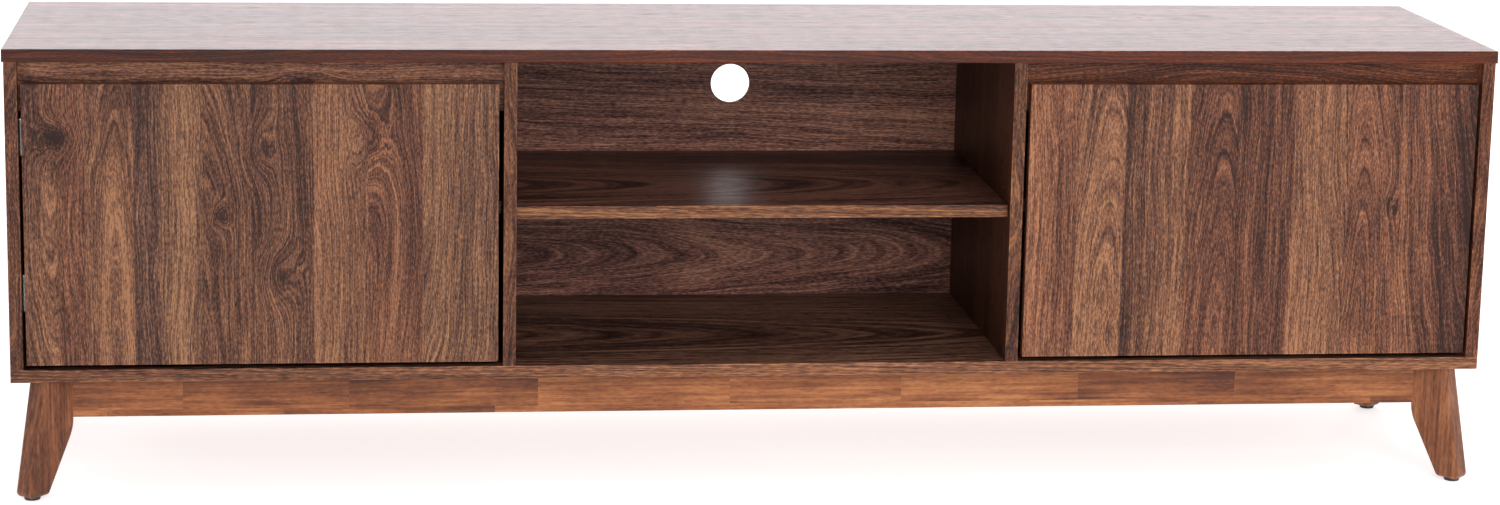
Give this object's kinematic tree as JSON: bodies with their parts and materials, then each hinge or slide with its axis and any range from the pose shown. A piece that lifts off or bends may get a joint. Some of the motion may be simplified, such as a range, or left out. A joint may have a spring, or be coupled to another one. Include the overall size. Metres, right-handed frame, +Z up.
{
  "type": "tv stand with doors",
  "caption": "Low media console with an open centre bay, a cupboard with a hinged door at each end, and a wooden base frame on splayed diagonal legs.",
  "frame": {"origin": "on the floor at the centre of the footprint", "axes": "+X to the right along the length when facing the doors, +Y to the back, +Z up; the doors face -Y"},
  "size_m": [1.778, 0.414, 0.537],
  "materials": {
    "walnut_board": "dark walnut laminate, satin",
    "back_board": "dark walnut foil, satin",
    "walnut_door": "dark walnut veneer in vertical staves, satin",
    "rubberwood_frame": "stained finger-jointed rubberwood, satin lacquer",
    "rubberwood_leg": "stained rubberwood, satin lacquer",
    "hinge_nickel": "nickel plated",
    "screw_steel": "zinc plated",
    "cam_zinc": "die-cast zinc",
    "beech_dowel": "fluted beech",
    "catch_plastic": "brown moulded plastic",
    "clear_bumper": "soft translucent polyurethane",
    "black_plastic": "moulded plastic"
  },
  "bodies": {
    "carcass": {"top_panel": "walnut_board", "bottom_panel": "walnut_board", "left_side_panel": "walnut_board", "right_side_panel": "walnut_board", "left_divider": "walnut_board", "right_divider": "walnut_board", "left_top_rail": "walnut_board", "right_top_rail": "walnut_board", "left_shelf": "walnut_board", "centre_shelf": "walnut_board", "right_shelf": "walnut_board", "left_back_panel": "back_board", "centre_back_panel": "back_board", "right_back_panel": "back_board", "front_apron": "rubberwood_frame", "rear_apron": "rubberwood_frame", "left_side_apron": "rubberwood_frame", "right_side_apron": "rubberwood_frame", "cross_rails": "rubberwood_frame", "corner_blocks": "rubberwood_frame", "front_left_leg": "rubberwood_leg", "front_right_leg": "rubberwood_leg", "rear_left_leg": "rubberwood_leg", "rear_right_leg": "rubberwood_leg", "left_hinge_arms": "hinge_nickel", "right_hinge_arms": "hinge_nickel", "left_hinge_plates": "hinge_nickel", "right_hinge_plates": "hinge_nickel", "hinge_arm_screws": "screw_steel", "hinge_plate_screws": "screw_steel", "catch_screws": "screw_steel", "base_bracket_screws": "screw_steel", "carcass_screws": "screw_steel", "cam_bolts": "screw_steel", "leg_bolts": "screw_steel", "cam_locks": "cam_zinc", "carcass_dowels": "beech_dowel", "rail_dowels": "beech_dowel", "shelf_pins": "screw_steel", "magnetic_catches": "catch_plastic", "door_bumpers": "clear_bumper", "leg_glides": "black_plastic", "base_brackets": "hinge_nickel"},
    "left_door": {"left_door_panel": "walnut_door", "left_hinge_cups": "hinge_nickel", "left_hinge_pins": "hinge_nickel", "left_hinge_cup_screws": "screw_steel", "left_strike_plate": "hinge_nickel", "left_strike_screws": "screw_steel"},
    "right_door": {"right_door_panel": "walnut_door", "right_hinge_cups": "hinge_nickel", "right_hinge_pins": "hinge_nickel", "right_hinge_cup_screws": "screw_steel", "right_strike_plate": "hinge_nickel", "right_strike_screws": "screw_steel"}
  },
  "joints": [
    {"name": "left_door_hinge", "type": "hinge", "parent": "carcass", "child": "left_door", "pos_m": [-0.8608, -0.18749, 0.3395], "axis": [0, 0, -1], "range_deg": [0, 95]},
    {"name": "right_door_hinge", "type": "hinge", "parent": "carcass", "child": "right_door", "pos_m": [0.8608, -0.18749, 0.3395], "axis": [0, 0, 1], "range_deg": [0, 95]}
  ]
}
